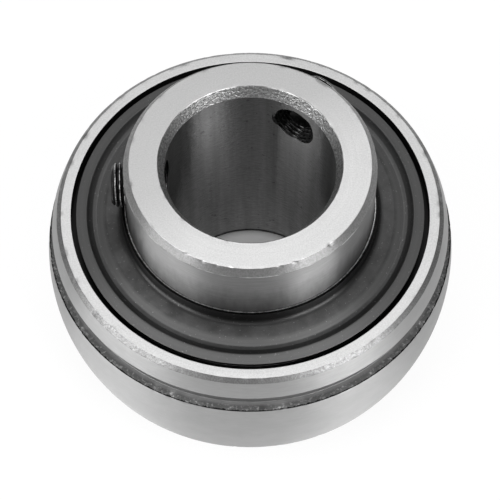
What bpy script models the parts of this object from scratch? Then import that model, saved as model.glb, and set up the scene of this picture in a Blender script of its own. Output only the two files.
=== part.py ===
"""Insert bearing: a sealed ball bearing with a spherical outside and a set screw collar.

Everything is turned about +Z. Heights in the profiles are counted from the plane of the balls,
and the parent empties lift that plane so that the short side of the inner ring stands on z = 0.
"""
import math

import bmesh
import bpy
from mathutils import Matrix, Vector

MM = 0.001

# Envelope, in millimetres
SPHERE_D = 47.0             # spherical outside, which seats in a housing
OUTER_WIDTH = 17.0          # outer ring, face to face
BORE_D = 19.05              # shaft of three quarters of an inch
LONG_OVERHANG = 9.8         # collar face beyond the outer ring's face
SHORT_OVERHANG = 4.2        # other face of the inner ring beyond the outer ring

# Balls and raceways
BALL_D = 7.938              # five sixteenths of an inch
BALL_SPACE = 5.1            # least space between two balls, for the riveted bridge of the cage
FIRST_BALL_AZIMUTH = 22.5   # degrees, and the others follow at equal steps
OUTER_WALL = 2.48           # sphere to the bottom of the outer raceway
RACE_CONFORMITY = 0.515     # raceway radius over ball diameter
OUTER_RACE_DEPTH = 1.62     # raceway bottom to the outer ring's land
INNER_RACE_DEPTH = 1.57     # raceway bottom to the inner ring's shoulder

# Outer ring
FACE_CHAMFER_HEIGHT = 0.45  # down from the face to where the sphere starts
FACE_CHAMFER_WIDTH = 0.51
LUBE_GROOVE_TOP = 2.65      # below the upper face
LUBE_GROOVE_WIDTH = 2.25
LUBE_GROOVE_DEPTH = 0.65
LUBE_GROOVE_DRAFT = 0.22    # how far its walls lean in
OIL_HOLE_D = 2.0
OIL_HOLE_AZIMUTHS = (30.0, 150.0)
RECESS_STEP = 0.9           # recess for seal and flinger, beyond the land
SEAL_GROOVE_INSET = 1.5     # outer ring's face to the seal groove
SEAL_GROOVE_WIDTH = 0.9
SEAL_GROOVE_DEPTH = 0.6

# Inner ring
BORE_CHAMFER_WIDTH = 0.7
BORE_CHAMFER_HEIGHT = 1.3
COLLAR_CHAMFER_WIDTH = 0.62
COLLAR_CHAMFER_HEIGHT = 0.9
SHORT_CHAMFER = 0.6

# Set screws, M5
SCREW_D = 5.0
SCREW_LENGTH = 5.0
SCREW_SETBACK = 0.94        # tip behind the bore's wall
SCREW_FROM_FACE = 4.6       # axis below the collar face
SCREW_CHAMFER = 0.45
SCREW_AZIMUTHS = (180.0, 57.5)
SOCKET_ACROSS_FLATS = 2.5
SOCKET_DEPTH = 2.2
CUP_D = 2.6
CUP_DEPTH = 0.6
HOLE_COUNTERSINK = 0.35

# Flingers
FLINGER_SHEET = 0.45
FLINGER_GAP = 0.55          # open ring between the flinger and the recess
FLINGER_INSET = 0.08        # rim below the outer ring's face
FLINGER_RIM = 1.05          # width of the flat rim
FLINGER_STEP = 0.32         # rim down to the valley
FLINGER_VALLEY = 0.9        # width of the valley
FLINGER_RIDGE = 0.58        # ridge above the valley
FLINGER_KNEE_WIDTH = 0.32   # valley to the knee of the ridge
FLINGER_KNEE_HEIGHT = 0.4
FLINGER_CROWN_WIDTH = 0.8   # valley to the crown of the ridge
FLINGER_BEND = 0.45         # fillet at the foot of the hub
FLINGER_HUB = 1.7           # hub above the outer ring's face

# Seals
SHIELD_SHEET = 0.4
SHIELD_OFFSET = 0.3         # pressed step of the shield
SHIELD_FLAT = 1.4           # width of the shield's outer flat
SHIELD_SLOPE = 0.45         # width of its sloping step
LIP_BAND = 1.5              # width of the rubber between the shoulder and the shield
LIP_HEIGHT = 1.15
LIP_EDGE = 0.2              # height of each lip's contact edge
LIP_WAIST = 0.65            # depth of the hollow between the two lips

# Cage
CAGE_SHEET = 0.7
CAGE_PLAY = 0.35            # pocket beyond the ball
CAGE_BEND = 0.3             # outer radius of the bend at the foot of a pocket
CAGE_INNER_SPACE = 1.15     # cage to the inner ring's shoulder
CAGE_OUTER_SPACE = 1.2      # cage to the outer ring's land
RIVET_D = 1.4
RIVET_HEAD_D = 2.2
RIVET_HEAD_HEIGHT = 0.55

# Clearances between pieces that touch in the real bearing
SEAT_GAP = 0.3              # balls in the raceways, flingers on the ring, shields in their grooves
THREAD_GAP = 0.25           # set screw in its hole
BOND_GAP = 0.25             # rubber lip to shield
CAGE_GAP = 0.3              # between the two cage halves
RIVET_GAP = 0.2             # rivet in the cage

CUT_OVERRUN = 1.0           # how far a cutter runs past the face it cuts

# Facets
RING_STEPS = 48
SEAL_STEPS = 32
RIVET_STEPS = 8
HOLE_SEGMENTS = 16
OIL_HOLE_SEGMENTS = 8
BALL_SEGMENTS = 14
BALL_RINGS = 8
RACEWAY_SEGMENTS = 6
POCKET_SEGMENTS = 6
BEND_SEGMENTS = 2
SHARP_ANGLE = 30.0          # degrees, beyond which an edge is drawn sharp

# Worked out from the sizes above
SPHERE_R = SPHERE_D / 2
BORE_R = BORE_D / 2
BALL_R = BALL_D / 2
HALF_WIDTH = OUTER_WIDTH / 2
LONG_SIDE = HALF_WIDTH + LONG_OVERHANG
SHORT_SIDE = HALF_WIDTH + SHORT_OVERHANG
RACE_R = RACE_CONFORMITY * BALL_D
OUTER_RACE_R = SPHERE_R - OUTER_WALL
PITCH_R = OUTER_RACE_R - SEAT_GAP - BALL_R
INNER_RACE_R = PITCH_R - BALL_R - SEAT_GAP
LAND_R = OUTER_RACE_R - OUTER_RACE_DEPTH
SHOULDER_R = INNER_RACE_R + INNER_RACE_DEPTH
RECESS_R = LAND_R + RECESS_STEP
SEAL_GROOVE_R = RECESS_R + SEAL_GROOVE_DEPTH
SHIELD_Z = HALF_WIDTH - SEAL_GROOVE_INSET - SEAL_GROOVE_WIDTH / 2
SCREW_Z = LONG_SIDE - SCREW_FROM_FACE
BALL_COUNT = int(2 * math.pi * PITCH_R / (BALL_D + BALL_SPACE))
BALL_STEP = 2 * math.pi / BALL_COUNT


def clear_scene():
    """Remove what the default scene holds."""
    for thing in list(bpy.data.objects):
        bpy.data.objects.remove(thing)


def new_collection(name):
    """A collection of the scene, by name."""
    collection = bpy.data.collections.new(name)
    bpy.context.scene.collection.children.link(collection)
    return collection


def make_material(name, color, roughness, metallic=1.0):
    """A Principled material with the piece's own colour."""
    material = bpy.data.materials.new(name)
    material.use_nodes = True
    shader = material.node_tree.nodes["Principled BSDF"]
    shader.inputs["Base Color"].default_value = (*color, 1.0)
    shader.inputs["Roughness"].default_value = roughness
    shader.inputs["Metallic"].default_value = metallic
    return material


def smooth_by_angle_group():
    """Node group that shades a mesh smooth and keeps the edges beyond SHARP_ANGLE sharp."""
    group = bpy.data.node_groups.new("smooth_by_angle", "GeometryNodeTree")
    group.interface.new_socket("Geometry", in_out="INPUT", socket_type="NodeSocketGeometry")
    group.interface.new_socket("Geometry", in_out="OUTPUT", socket_type="NodeSocketGeometry")
    entry = group.nodes.new("NodeGroupInput")
    leave = group.nodes.new("NodeGroupOutput")
    angle = group.nodes.new("GeometryNodeInputMeshEdgeAngle")
    is_sharp = group.nodes.new("FunctionNodeCompare")
    is_sharp.operation = "GREATER_THAN"
    is_sharp.inputs[1].default_value = math.radians(SHARP_ANGLE)
    faces = group.nodes.new("GeometryNodeSetShadeSmooth")
    faces.domain = "FACE"
    edges = group.nodes.new("GeometryNodeSetShadeSmooth")
    edges.domain = "EDGE"
    edges.inputs["Shade Smooth"].default_value = False
    group.links.new(angle.outputs["Unsigned Angle"], is_sharp.inputs[0])
    group.links.new(entry.outputs[0], faces.inputs["Geometry"])
    group.links.new(faces.outputs["Geometry"], edges.inputs["Geometry"])
    group.links.new(is_sharp.outputs["Result"], edges.inputs["Selection"])
    group.links.new(edges.outputs["Geometry"], leave.inputs[0])
    return group


def add_smoothing(piece):
    """Finish a piece's shading, after its other modifiers."""
    modifier = piece.modifiers.new("smooth_by_angle", "NODES")
    modifier.node_group = SMOOTHING


def add_object(name, mesh, collection, parent=None):
    """Put a mesh in the scene under its joint's empty."""
    piece = bpy.data.objects.new(name, mesh)
    collection.objects.link(piece)
    piece.parent = parent
    return piece


def add_empty(name, height=0.0, parent=None):
    """An empty on the bearing's axis, which carries one moving group."""
    empty = bpy.data.objects.new(name, None)
    empty.empty_display_size = SPHERE_R * MM
    empty.location = (0.0, 0.0, height * MM)
    empty.parent = parent
    BEARING.objects.link(empty)
    return empty


def arc(center_r, center_z, radius, start, end, segments):
    """Points on a circular arc of a profile; angles in degrees from the +r direction."""
    points = []
    for index in range(segments + 1):
        angle = math.radians(start + (end - start) * index / segments)
        points.append((center_r + radius * math.cos(angle), center_z + radius * math.sin(angle)))
    return points


def profile_mesh(name, points, closed):
    """A chain of edges in the XZ plane, ready to be turned."""
    mesh = bmesh.new()
    verts = [mesh.verts.new((r * MM, 0.0, z * MM)) for r, z in points]
    for first, second in zip(verts, verts[1:]):
        mesh.edges.new((first, second))
    if closed:
        mesh.edges.new((verts[-1], verts[0]))
    data = bpy.data.meshes.new(name)
    mesh.to_mesh(data)
    mesh.free()
    return data


def add_turn(piece, steps):
    """Turn a profile right round, with its ends merged."""
    screw = piece.modifiers.new("turn", "SCREW")
    screw.axis = "Z"
    screw.steps = steps
    screw.render_steps = steps
    screw.use_merge_vertices = True
    screw.merge_threshold = 0.000001


def turned(name, points, material, parent, steps=RING_STEPS, closed=True):
    """A turned piece: a profile that runs down its outer side, with a Screw modifier."""
    piece = add_object(name, profile_mesh(name, points, closed), BEARING, parent)
    piece.data.materials.append(material)
    add_turn(piece, steps)
    return piece


def add_sheet(piece, thickness):
    """Give an open surface the thickness of its sheet, behind its drawn side."""
    solidify = piece.modifiers.new("sheet", "SOLIDIFY")
    solidify.thickness = thickness * MM
    solidify.offset = -1.0
    solidify.use_even_offset = True


def pressed_disc(name, points, thickness, side, material, parent, steps):
    """A turned sheet, given by its outer surface from the rim inwards; side -1 is the lower one."""
    mirrored = [(r, z * side) for r, z in points]
    if side > 0:
        mirrored.reverse()
    piece = turned(name, mirrored, material, parent, steps, closed=False)
    add_sheet(piece, thickness)
    add_smoothing(piece)
    return piece


def place_cutter(name, data, matrix, parent):
    """A hidden cutter, placed on its hole's axis."""
    cutter = add_object(name, data, CUTTERS, parent)
    cutter.matrix_local = matrix
    cutter.hide_render = True
    cutter.display_type = "WIRE"
    return cutter


def drill(name, radius, bottom, top, segments, matrix, parent):
    """A straight cutter along its local Z: a drill, or a punch where it has six sides."""
    mesh = bmesh.new()
    bmesh.ops.create_cone(
        mesh, cap_ends=True, segments=segments, radius1=radius * MM, radius2=radius * MM,
        depth=(top - bottom) * MM, matrix=Matrix.Translation((0.0, 0.0, (top + bottom) / 2 * MM)))
    data = bpy.data.meshes.new(name)
    mesh.to_mesh(data)
    mesh.free()
    return place_cutter(name, data, matrix, parent)


def turned_drill(name, points, matrix, parent):
    """A turned cutter along its local Z, for a countersunk hole."""
    cutter = place_cutter(name, profile_mesh(name, points, closed=False), matrix, parent)
    add_turn(cutter, HOLE_SEGMENTS)
    return cutter


def cut(piece, cutter):
    """Take a cutter out of a piece."""
    boolean = piece.modifiers.new(cutter.name, "BOOLEAN")
    boolean.operation = "DIFFERENCE"
    boolean.solver = "EXACT"
    boolean.object = cutter


def radial_matrix(azimuth, height, radius=0.0):
    """Placement whose local +Z points out of the bearing at an azimuth in degrees."""
    turn = Matrix.Rotation(math.radians(azimuth), 4, "Z") @ Matrix.Rotation(math.pi / 2, 4, "Y")
    return Matrix.Translation((0.0, 0.0, height * MM)) @ turn @ Matrix.Translation((0.0, 0.0, radius * MM))


def sphere_radius(height):
    """Radius of the spherical outside at a height above the ball plane."""
    return math.sqrt(SPHERE_R ** 2 - height ** 2)


def sphere_arc(top, bottom, segments):
    """The spherical outside between two heights, from the top down."""
    start = math.degrees(math.asin(top / SPHERE_R))
    end = math.degrees(math.asin(bottom / SPHERE_R))
    return arc(0.0, 0.0, SPHERE_R, start, end, segments)


def make_outer_ring(parent):
    """Spherical ring with its raceway, seal grooves, lubrication groove and oil holes."""
    sphere_top = HALF_WIDTH - FACE_CHAMFER_HEIGHT
    face_r = sphere_radius(sphere_top) - FACE_CHAMFER_WIDTH
    groove_top = HALF_WIDTH - LUBE_GROOVE_TOP
    groove_bottom = groove_top - LUBE_GROOVE_WIDTH
    groove_floor_r = sphere_radius(groove_top) - LUBE_GROOVE_DEPTH
    seal_top = HALF_WIDTH - SEAL_GROOVE_INSET
    seal_bottom = seal_top - SEAL_GROOVE_WIDTH

    outside = [(face_r, HALF_WIDTH)]
    outside += sphere_arc(sphere_top, groove_top, 2)
    outside += [(groove_floor_r, groove_top - LUBE_GROOVE_DRAFT)]
    outside += [(groove_floor_r, groove_bottom + LUBE_GROOVE_DRAFT)]
    outside += sphere_arc(groove_bottom, -sphere_top, 6)
    outside += [(face_r, -HALF_WIDTH)]

    upper_seat = [(LAND_R, seal_bottom), (SEAL_GROOVE_R, seal_bottom), (SEAL_GROOVE_R, seal_top)]
    upper_seat += [(RECESS_R, seal_top), (RECESS_R, HALF_WIDTH)]
    lower_seat = [(r, -z) for r, z in reversed(upper_seat)]
    race_center_r = OUTER_RACE_R - RACE_R
    race_angle = math.degrees(math.acos((LAND_R - race_center_r) / RACE_R))
    raceway = arc(race_center_r, 0.0, RACE_R, -race_angle, race_angle, RACEWAY_SEGMENTS)

    ring = turned("outer_ring", outside + lower_seat + raceway + upper_seat, STEEL_OUTER, parent)
    hole_z = (groove_top + groove_bottom) / 2
    for number, azimuth in enumerate(OIL_HOLE_AZIMUTHS, 1):
        bit = drill(f"oil_hole_{number}", OIL_HOLE_D / 2, LAND_R - CUT_OVERRUN, SPHERE_R + CUT_OVERRUN,
                    OIL_HOLE_SEGMENTS, radial_matrix(azimuth, hole_z), parent)
        cut(ring, bit)
    add_smoothing(ring)
    return ring


def make_inner_ring(parent):
    """Wide ring with its raceway, the bore and the two screw holes in the long side."""
    race_center_r = INNER_RACE_R + RACE_R
    race_angle = math.degrees(math.acos((race_center_r - SHOULDER_R) / RACE_R))
    profile = [(SHOULDER_R - COLLAR_CHAMFER_WIDTH, LONG_SIDE)]
    profile += [(SHOULDER_R, LONG_SIDE - COLLAR_CHAMFER_HEIGHT)]
    profile += arc(race_center_r, 0.0, RACE_R, 180.0 - race_angle, 180.0 + race_angle, RACEWAY_SEGMENTS)
    profile += [(SHOULDER_R, SHORT_CHAMFER - SHORT_SIDE), (SHOULDER_R - SHORT_CHAMFER, -SHORT_SIDE)]
    profile += [(BORE_R + BORE_CHAMFER_WIDTH, -SHORT_SIDE), (BORE_R, BORE_CHAMFER_HEIGHT - SHORT_SIDE)]
    profile += [(BORE_R, LONG_SIDE - BORE_CHAMFER_HEIGHT), (BORE_R + BORE_CHAMFER_WIDTH, LONG_SIDE)]

    ring = turned("inner_ring", profile, STEEL_INNER, parent)
    hole_r = SCREW_D / 2 + THREAD_GAP
    sink_start = SHOULDER_R - HOLE_COUNTERSINK
    beyond = SHOULDER_R + CUT_OVERRUN
    within = BORE_R - 2 * CUT_OVERRUN
    hole = [(0.0, beyond), (hole_r + beyond - sink_start, beyond), (hole_r, sink_start)]
    hole += [(hole_r, within), (0.0, within)]
    for number, azimuth in enumerate(SCREW_AZIMUTHS, 1):
        cut(ring, turned_drill(f"screw_hole_{number}", hole, radial_matrix(azimuth, SCREW_Z), parent))
    add_smoothing(ring)
    return ring


def make_set_screw(number, azimuth, parent):
    """Headless M5 screw with a cup point inwards and a hexagon socket outwards."""
    radius = SCREW_D / 2
    profile = [(0.0, SCREW_LENGTH), (radius - SCREW_CHAMFER, SCREW_LENGTH)]
    profile += [(radius, SCREW_LENGTH - SCREW_CHAMFER), (radius, radius - CUP_D / 2), (CUP_D / 2, 0.0)]
    profile += [(0.0, CUP_DEPTH)]
    screw = turned(f"set_screw_{number}", profile, BLACK_SCREW, parent, HOLE_SEGMENTS, closed=False)
    place = radial_matrix(azimuth, SCREW_Z, BORE_R + SCREW_SETBACK)
    screw.matrix_local = place
    socket = drill(f"socket_{number}", SOCKET_ACROSS_FLATS / math.sqrt(3.0), SCREW_LENGTH - SOCKET_DEPTH,
                   SCREW_LENGTH + CUT_OVERRUN, 6, place, parent)
    cut(screw, socket)
    add_smoothing(screw)
    return screw


def make_flinger(name, side, parent):
    """Dished disc that turns with the inner ring and throws dirt off."""
    rim_z = HALF_WIDTH - FLINGER_INSET
    valley_z = rim_z - FLINGER_STEP
    edge_r = RECESS_R - FLINGER_GAP
    valley_r = edge_r - FLINGER_RIM - FLINGER_STEP
    ridge_foot_r = valley_r - FLINGER_VALLEY
    hub_r = SHOULDER_R + SEAT_GAP + FLINGER_SHEET
    ridge_top_z = valley_z + FLINGER_RIDGE
    points = [(edge_r, rim_z), (edge_r - FLINGER_RIM, rim_z), (valley_r, valley_z)]
    points += [(ridge_foot_r, valley_z)]
    points += [(ridge_foot_r - FLINGER_KNEE_WIDTH, valley_z + FLINGER_KNEE_HEIGHT)]
    points += [(ridge_foot_r - FLINGER_CROWN_WIDTH, ridge_top_z)]
    bend_z = ridge_top_z + FLINGER_BEND
    points += arc(hub_r + FLINGER_BEND, bend_z, FLINGER_BEND, 270.0, 180.0, BEND_SEGMENTS)
    points += [(hub_r, HALF_WIDTH + FLINGER_HUB)]
    return pressed_disc(name, points, FLINGER_SHEET, side, DARK_FLINGER, parent, RING_STEPS)


def make_seal_shield(name, side, parent):
    """Stepped steel disc whose rim sits in the outer ring's seal groove."""
    rim_r = SEAL_GROOVE_R - SEAT_GAP
    rim_z = SHIELD_Z + SHIELD_SHEET / 2
    step_r = rim_r - SHIELD_FLAT
    inner_r = SHOULDER_R + SEAT_GAP + LIP_BAND + BOND_GAP
    points = [(rim_r, rim_z), (step_r, rim_z), (step_r - SHIELD_SLOPE, rim_z + SHIELD_OFFSET)]
    points += [(inner_r, rim_z + SHIELD_OFFSET)]
    return pressed_disc(name, points, SHIELD_SHEET, side, SHIELD_STEEL, parent, SEAL_STEPS)


def make_seal_lip(name, side, parent):
    """Moulded rubber ring with two lips that run on the inner ring's shoulder."""
    tip_r = SHOULDER_R + SEAT_GAP
    back_r = tip_r + LIP_BAND
    middle_z = SHIELD_Z + SHIELD_OFFSET
    top_z = middle_z + LIP_HEIGHT / 2
    bottom_z = middle_z - LIP_HEIGHT / 2
    points = [(back_r, top_z), (back_r, bottom_z), (tip_r, bottom_z), (tip_r, bottom_z + LIP_EDGE)]
    points += [(tip_r + LIP_WAIST, middle_z), (tip_r, top_z - LIP_EDGE), (tip_r, top_z)]
    if side < 0:
        points = [(r, -z) for r, z in reversed(points)]
    piece = turned(name, points, RUBBER, parent, SEAL_STEPS)
    add_smoothing(piece)
    return piece


def cage_path():
    """Inner surface of the upper cage half around one ball: (offset along the pitch circle, z)."""
    pocket_r = BALL_R + CAGE_PLAY
    flat_z = CAGE_GAP / 2
    bend = CAGE_BEND + CAGE_SHEET
    start_z = flat_z + bend
    side_x = math.sqrt(pocket_r ** 2 - start_z ** 2)
    lift = math.degrees(math.asin(start_z / pocket_r))
    foot = arc(side_x + bend, start_z, bend, 270.0, 180.0, BEND_SEGMENTS)
    pocket = arc(0.0, 0.0, pocket_r, lift, 180.0 - lift, POCKET_SEGMENTS)
    return foot[:-1] + pocket + [(-x, z) for x, z in reversed(foot[:-1])]


def make_cage_half(name, side, parent):
    """Stamped ribbon with a pocket round each ball and a flat bridge between them."""
    inner_r = (SHOULDER_R + CAGE_INNER_SPACE) * MM
    outer_r = (LAND_R - CAGE_OUTER_SPACE) * MM
    mesh = bmesh.new()
    ring = []
    for ball in range(BALL_COUNT):
        center = math.radians(FIRST_BALL_AZIMUTH) + ball * BALL_STEP
        for x, z in reversed(cage_path()):
            azimuth = center + math.asin(x / PITCH_R)
            point = (inner_r * math.cos(azimuth), inner_r * math.sin(azimuth), z * side * MM)
            ring.append(mesh.verts.new(point))
    edges = [mesh.edges.new(pair) for pair in zip(ring, ring[1:] + ring[:1])]
    widened = bmesh.ops.extrude_edge_only(mesh, edges=edges)
    outer_verts = [item for item in widened["geom"] if isinstance(item, bmesh.types.BMVert)]
    bmesh.ops.scale(mesh, vec=(outer_r / inner_r, outer_r / inner_r, 1.0), verts=outer_verts)
    bmesh.ops.recalc_face_normals(mesh, faces=mesh.faces)
    mesh.normal_update()
    flat = min(mesh.faces, key=lambda face: abs(face.calc_center_median().z))
    if flat.normal.z * side < 0:
        bmesh.ops.reverse_faces(mesh, faces=mesh.faces)
    data = bpy.data.meshes.new(name)
    mesh.to_mesh(data)
    mesh.free()
    piece = add_object(name, data, BEARING, parent)
    piece.data.materials.append(CAGE_STEEL)
    add_sheet(piece, CAGE_SHEET)
    piece.modifiers["sheet"].offset = 1.0
    for number in range(1, BALL_COUNT + 1):
        place = Matrix.Translation(rivet_place(number))
        cut(piece, drill(f"{name}_hole_{number}", RIVET_D / 2 + RIVET_GAP, -2 * CAGE_SHEET,
                         2 * CAGE_SHEET, RIVET_STEPS, place, parent))
    add_smoothing(piece)
    return piece


def ball_place(number):
    """Centre of a ball in the ball plane."""
    azimuth = math.radians(FIRST_BALL_AZIMUTH) + (number - 1) * BALL_STEP
    return Vector((math.cos(azimuth), math.sin(azimuth), 0.0)) * PITCH_R * MM


def rivet_place(number):
    """Centre of a rivet, midway between two balls."""
    azimuth = math.radians(FIRST_BALL_AZIMUTH) + (number - 0.5) * BALL_STEP
    return Vector((math.cos(azimuth), math.sin(azimuth), 0.0)) * PITCH_R * MM


def make_balls(parent):
    """The balls share one mesh, and each has its origin at its own centre."""
    mesh = bmesh.new()
    bmesh.ops.create_uvsphere(mesh, u_segments=BALL_SEGMENTS, v_segments=BALL_RINGS, radius=BALL_R * MM)
    data = bpy.data.meshes.new("ball")
    mesh.to_mesh(data)
    mesh.free()
    data.materials.append(BALL_STEEL)
    data.shade_smooth()
    for number in range(1, BALL_COUNT + 1):
        ball = add_object(f"ball_{number}", data, BEARING, parent)
        ball.location = ball_place(number)


def make_rivets(parent):
    """Rivets with a domed head on each side of the cage."""
    seat_z = CAGE_GAP / 2 + CAGE_SHEET + RIVET_GAP
    head_r = RIVET_HEAD_D / 2
    dome = (math.cos(math.pi / 4) * head_r, seat_z + math.sin(math.pi / 4) * RIVET_HEAD_HEIGHT)
    upper = [(0.0, seat_z + RIVET_HEAD_HEIGHT), dome, (head_r, seat_z), (RIVET_D / 2, seat_z)]
    profile = upper + [(r, -z) for r, z in reversed(upper)]
    for number in range(1, BALL_COUNT + 1):
        rivet = turned(f"rivet_{number}", profile, RIVET_STEEL, parent, RIVET_STEPS, closed=False)
        rivet.location = rivet_place(number)
        add_smoothing(rivet)


clear_scene()
BEARING = new_collection("insert_bearing")
CUTTERS = new_collection("cutters")
SMOOTHING = smooth_by_angle_group()
STEEL_OUTER = make_material("ground_steel_outer", (0.60, 0.60, 0.60), 0.34)
STEEL_INNER = make_material("ground_steel_inner", (0.62, 0.62, 0.62), 0.30)
DARK_FLINGER = make_material("blackened_sheet", (0.07, 0.07, 0.07), 0.42)
BLACK_SCREW = make_material("black_oxide_screw", (0.05, 0.05, 0.05), 0.38)
SHIELD_STEEL = make_material("pressed_shield", (0.35, 0.35, 0.35), 0.40)
RUBBER = make_material("nitrile_rubber", (0.02, 0.02, 0.02), 0.60, metallic=0.0)
CAGE_STEEL = make_material("stamped_cage", (0.45, 0.44, 0.42), 0.45)
BALL_STEEL = make_material("lapped_ball", (0.75, 0.75, 0.75), 0.08)
RIVET_STEEL = make_material("rivet_steel", (0.40, 0.40, 0.39), 0.45)

inner_axis = add_empty("inner_axis", SHORT_SIDE)
outer_axis = add_empty("outer_axis", parent=inner_axis)
cage_axis = add_empty("cage_axis", parent=inner_axis)

make_inner_ring(inner_axis)
make_outer_ring(outer_axis)
make_balls(cage_axis)
make_rivets(cage_axis)
for level, sign in (("upper", 1), ("lower", -1)):
    make_cage_half(f"cage_{level}", sign, cage_axis)
    make_flinger(f"flinger_{level}", sign, inner_axis)
    make_seal_shield(f"seal_shield_{level}", sign, outer_axis)
    make_seal_lip(f"seal_lip_{level}", sign, outer_axis)
for screw_number, screw_azimuth in enumerate(SCREW_AZIMUTHS, 1):
    make_set_screw(screw_number, screw_azimuth, inner_axis)
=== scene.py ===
# %% [markdown]
# # An insert bearing, dressed for its portrait
# The frame holds the bearing's plain solids in metres, with the bore along +Z and the short side
# of the inner ring on z = 0. This lesson makes the pieces again with the edges, threads and
# finishes of the real ones, and lights them on a white table.

# %% Load the frame
import math
import bmesh
import bpy
from mathutils import Matrix, Vector, noise


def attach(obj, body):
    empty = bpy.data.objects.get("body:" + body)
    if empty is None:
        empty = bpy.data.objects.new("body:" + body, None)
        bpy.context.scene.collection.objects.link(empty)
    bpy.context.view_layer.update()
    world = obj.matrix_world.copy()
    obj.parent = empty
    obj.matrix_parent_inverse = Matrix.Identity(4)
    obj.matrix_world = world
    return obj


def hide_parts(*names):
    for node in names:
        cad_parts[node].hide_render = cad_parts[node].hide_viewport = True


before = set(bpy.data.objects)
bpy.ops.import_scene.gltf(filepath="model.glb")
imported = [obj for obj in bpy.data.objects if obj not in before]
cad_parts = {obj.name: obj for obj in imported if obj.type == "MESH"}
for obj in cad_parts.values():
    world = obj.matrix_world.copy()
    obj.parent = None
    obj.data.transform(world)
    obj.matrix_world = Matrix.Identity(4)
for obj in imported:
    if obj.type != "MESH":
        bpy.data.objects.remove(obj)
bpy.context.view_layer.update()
MM = 0.001
BALL_PLANE = 12.7           # height of the balls' plane over the table, in millimetres

# %% [markdown]
# ## Camera
# The photo looks down at the bearing from the front, about 60 degrees below the horizon. Circles
# of known size fix the rest: the near and far edges of the rings give the distance, and their
# width in the picture gives the lens. A long lens keeps the ellipses nearly true.

# %% Camera
LOOK_DOWN = 59.729          # degrees below the horizon
camera_data = bpy.data.cameras.new("camera")
camera_data.lens = 156.94
camera_data.sensor_width = 36.0
camera_data.clip_start = 0.01
camera = bpy.data.objects.new("camera", camera_data)
camera.location = (-0.000025, -0.129174, 0.233266)
camera.rotation_euler = (math.radians(90.0 - LOOK_DOWN), 0.0, 0.0)
scene = bpy.context.scene
scene.collection.objects.link(camera)
scene.camera = camera
BEARING_CENTER = Vector((0.0, 0.0, BALL_PLANE * MM))
print("camera to ball plane", round((camera.location - BEARING_CENTER).length / MM, 1))

# %% [markdown]
# ## Small helpers
# Colours are read off the photo as sRGB hex, while shaders count in linear light, so one function
# turns the one into the other. The second adds a node, sets it and links it. The others name the
# nodes that come up most, which keeps every material below down to a few lines.


# %% Colour and node helpers
def paint(hex_color):
    """Linear colour of an sRGB hex value."""
    channels = [int(hex_color[start:start + 2], 16) / 255 for start in (1, 3, 5)]
    return (*[c / 12.92 if c <= 0.04045 else ((c + 0.055) / 1.055) ** 2.4 for c in channels], 1.0)


def add_node(tree, kind, inputs=None, **settings):
    """A node with its settings; an input takes a value, or an output to link."""
    node = tree.nodes.new(kind)
    for name, value in settings.items():
        setattr(node, name, value)
    for key, value in (inputs or {}).items():
        if isinstance(value, bpy.types.NodeSocket):
            tree.links.new(value, node.inputs[key])
        else:
            node.inputs[key].default_value = value
    return node


def feed(tree, kind, inputs=None, output=0, **settings):
    """Output of a new node."""
    return add_node(tree, kind, inputs, **settings).outputs[output]


def reckon(tree, operation, *values):
    """Outcome of a math node."""
    return feed(tree, "ShaderNodeMath", dict(enumerate(values)), operation=operation)


def ramp(tree, value, start, end, low=0.0, high=1.0):
    """The value's range from start to end, spread from low to high and held there beyond it."""
    return feed(tree, "ShaderNodeMapRange", {
        "Value": value, "From Min": start, "From Max": end, "To Min": low, "To Max": high})


print("mid grey", round(paint("#808080")[0], 3))

# %% [markdown]
# ## Table and studio light
# The product stands on a white sweep. The camera sees the table as plain white with a faint
# shadow under the rings, and polished metal sees half of that white and half of what the table
# really shows, shadow and all. Inside the bore the camera gets little of that white, so the patch
# of table at its bottom is grey, and it is black where the ring's chamfer stands over it.

# %% Table
WHITE = (1.0, 1.0, 1.0, 1.0)
MIRRORED_WHITE = 0.46       # share of plain white in what polished metal sees of the table
table = bpy.data.materials.new("white_sweep")
table.use_nodes = True
tree = table.node_tree
tree.nodes.clear()
rays = add_node(tree, "ShaderNodeLightPath").outputs
reflecting = reckon(tree, "MAXIMUM", rays["Is Glossy Ray"], rays["Is Transmission Ray"])
spot = feed(tree, "ShaderNodeTexCoord", output="Object")
from_axis = feed(tree, "ShaderNodeVectorMath", {0: spot}, "Value", operation="LENGTH")
in_bore = ramp(tree, from_axis, 9.0 * MM, 9.9 * MM, 0.12, 0.0)
open_table = ramp(tree, from_axis, 12.0 * MM, 13.0 * MM, 0.0, 0.90)
whitened = reckon(tree, "MAXIMUM", in_bore, open_table)
whitened = reckon(tree, "MULTIPLY", rays["Is Camera Ray"], whitened)
mirrored = reckon(tree, "MULTIPLY", reflecting, MIRRORED_WHITE)
cloth = feed(tree, "ShaderNodeBsdfDiffuse", {"Color": paint("#f2f2f2")})
glow = feed(tree, "ShaderNodeEmission", {"Color": WHITE, "Strength": 1.0})
sweep = feed(tree, "ShaderNodeMixShader", {
    0: reckon(tree, "MAXIMUM", whitened, mirrored), 1: cloth, 2: glow})
add_node(tree, "ShaderNodeOutputMaterial", {"Surface": sweep})

table_mesh = bpy.data.meshes.new("table")
table_mesh.from_pydata([(-3, -3, 0), (3, -3, 0), (3, 3, 0), (-3, 3, 0)], [], [(0, 1, 2, 3)])
table_mesh.materials.append(table)
table_top = bpy.data.objects.new("table", table_mesh)
scene.collection.objects.link(table_top)

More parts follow.
